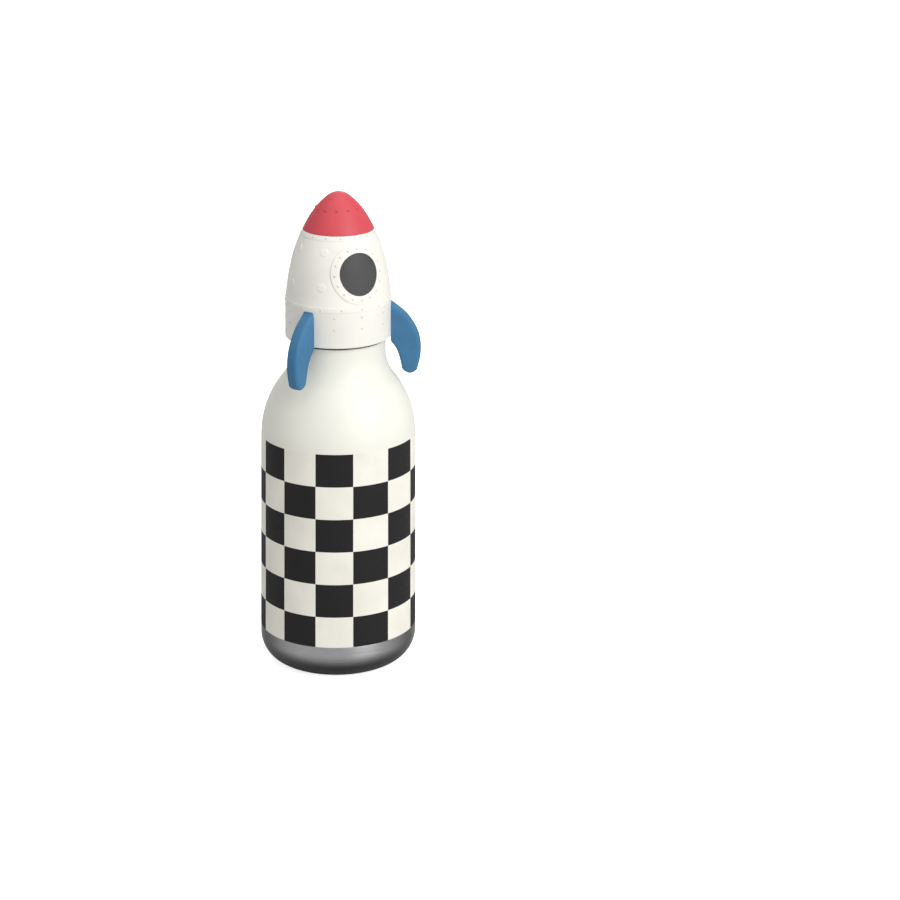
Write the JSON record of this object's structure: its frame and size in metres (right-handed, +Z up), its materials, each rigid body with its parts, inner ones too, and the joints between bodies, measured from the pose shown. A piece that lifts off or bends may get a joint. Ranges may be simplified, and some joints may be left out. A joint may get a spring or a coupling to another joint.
{
  "type": "kids water bottle",
  "caption": "Insulated steel bottle with a screw-in straw lid and a pull-off rocket cap: red nose, round porthole and swept blue fins; black and white checked body.",
  "frame": {"origin": "centre of the circular resting face under the steel base", "axes": "+Z up along the bottle's axis to the nose of the rocket cap; -Y out through the porthole; +X to the right seen from the porthole side"},
  "size_m": [0.076, 0.0788, 0.2275],
  "materials": {
    "powder_coat": "fine-textured cream powder coat with a printed band of checks",
    "base_steel": "brushed around the axis",
    "liner_steel": "satin, electropolished",
    "plug_metal": "dull braze",
    "getter_alloy": "sintered",
    "lid_plastic": "satin moulded",
    "hull_plastic": "satin moulded",
    "nose_plastic": "soft-touch red",
    "fin_rubber": "matt blue elastomer",
    "pane_plastic": "smoked grey",
    "frame_plastic": "satin moulded",
    "clear_silicone": "translucent matt",
    "seal_silicone": "matt grey",
    "spout_silicone": "matt blue",
    "connector_plastic": "natural moulded"
  },
  "bodies": {
    "bottle": {"outer_shell": "powder_coat", "base_cup": "base_steel", "base_plate": "base_steel", "vacuum_plug": "plug_metal", "getter": "getter_alloy", "inner_vessel": "liner_steel"},
    "neck_seal": {"neck_gasket": "seal_silicone"},
    "drinking_lid": {"lid_body": "lid_plastic", "cap_grip_ring": "seal_silicone", "straw_connector": "connector_plastic", "straw": "clear_silicone", "spout_base": "spout_silicone"},
    "spout_tip": {"mouthpiece": "spout_silicone"},
    "valve": {"vent_valve": "clear_silicone"},
    "rocket_cap": {"cap_shell": "hull_plastic", "cap_sleeve": "lid_plastic", "nose_cone": "nose_plastic", "window_frame": "frame_plastic", "window_lens": "pane_plastic", "fin_left": "fin_rubber", "fin_right": "fin_rubber", "fin_rear": "fin_rubber"}
  },
  "joints": [
    {"name": "lid_rise", "type": "slide", "parent": "bottle", "child": "neck_seal", "axis": [0, 0, 1], "range_m": [0, 0.008]},
    {"name": "lid_turn", "type": "hinge", "parent": "neck_seal", "child": "drinking_lid", "pos_m": [0, 0, 0.16], "axis": [0, 0, 1], "range_deg": [0, 720]},
    {"name": "cap_pull", "type": "slide", "parent": "drinking_lid", "child": "rocket_cap", "axis": [0, 0, 1], "range_m": [0, 0.06]},
    {"name": "spout_flex", "type": "hinge", "parent": "drinking_lid", "child": "spout_tip", "pos_m": [0, 0, 0.187], "axis": [1, 0, 0], "range_deg": [-28, 28], "stiffness_Nm_per_rad": 0.02},
    {"name": "vent_lift", "type": "slide", "parent": "drinking_lid", "child": "valve", "axis": [0, 0, 1], "range_m": [0, 0.0005], "stiffness_N_per_m": 20}
  ],
  "couplings": [
    {"joint": "lid_turn", "follows": "lid_rise", "rad_per_m": 1570.8}
  ]
}
